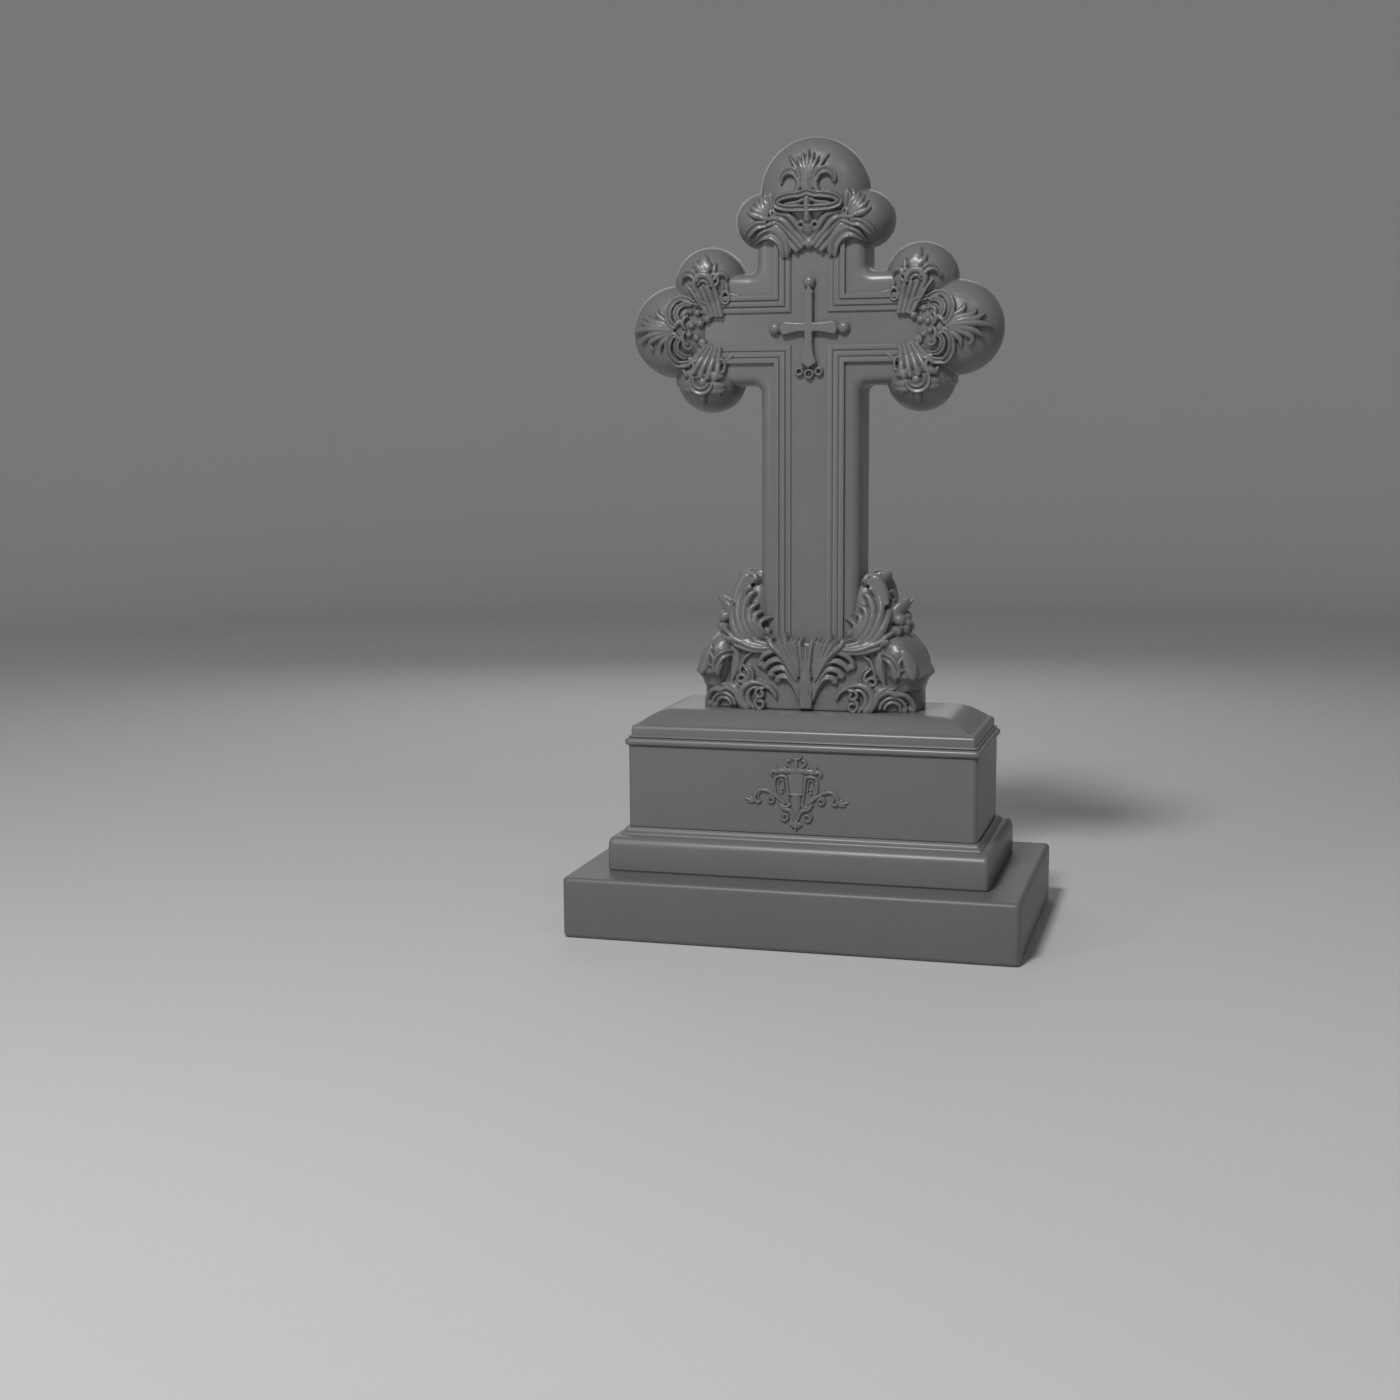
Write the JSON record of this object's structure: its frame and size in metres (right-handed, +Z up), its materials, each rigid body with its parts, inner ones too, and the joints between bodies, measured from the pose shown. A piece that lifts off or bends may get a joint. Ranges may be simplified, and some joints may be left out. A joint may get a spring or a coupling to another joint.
{
  "type": "carved stone memorial cross",
  "caption": "Free-standing carved stone memorial cross with puffed trefoil ends and a foliage foot, on a moulded chest plinth and ground slab.",
  "frame": {"origin": "on the ground under the middle of the slab", "axes": "+Z up, +X to the right along the chest and the arms, -Y out of the carved front"},
  "size_m": [1.2, 0.743, 2.0737],
  "materials": {
    "slab_stone": "fine grey stone, rubbed smooth",
    "plinth_stone": "fine grey stone, honed",
    "chest_stone": "fine grey stone, honed",
    "lid_stone": "fine grey stone, soft polish",
    "cross_stone": "fine grey stone, carved and softly polished"
  },
  "bodies": {
    "root": {"base_slab": "slab_stone", "plinth_step": "plinth_stone", "chest": "chest_stone", "lid": "lid_stone", "cross": "cross_stone"}
  },
  "joints": []
}
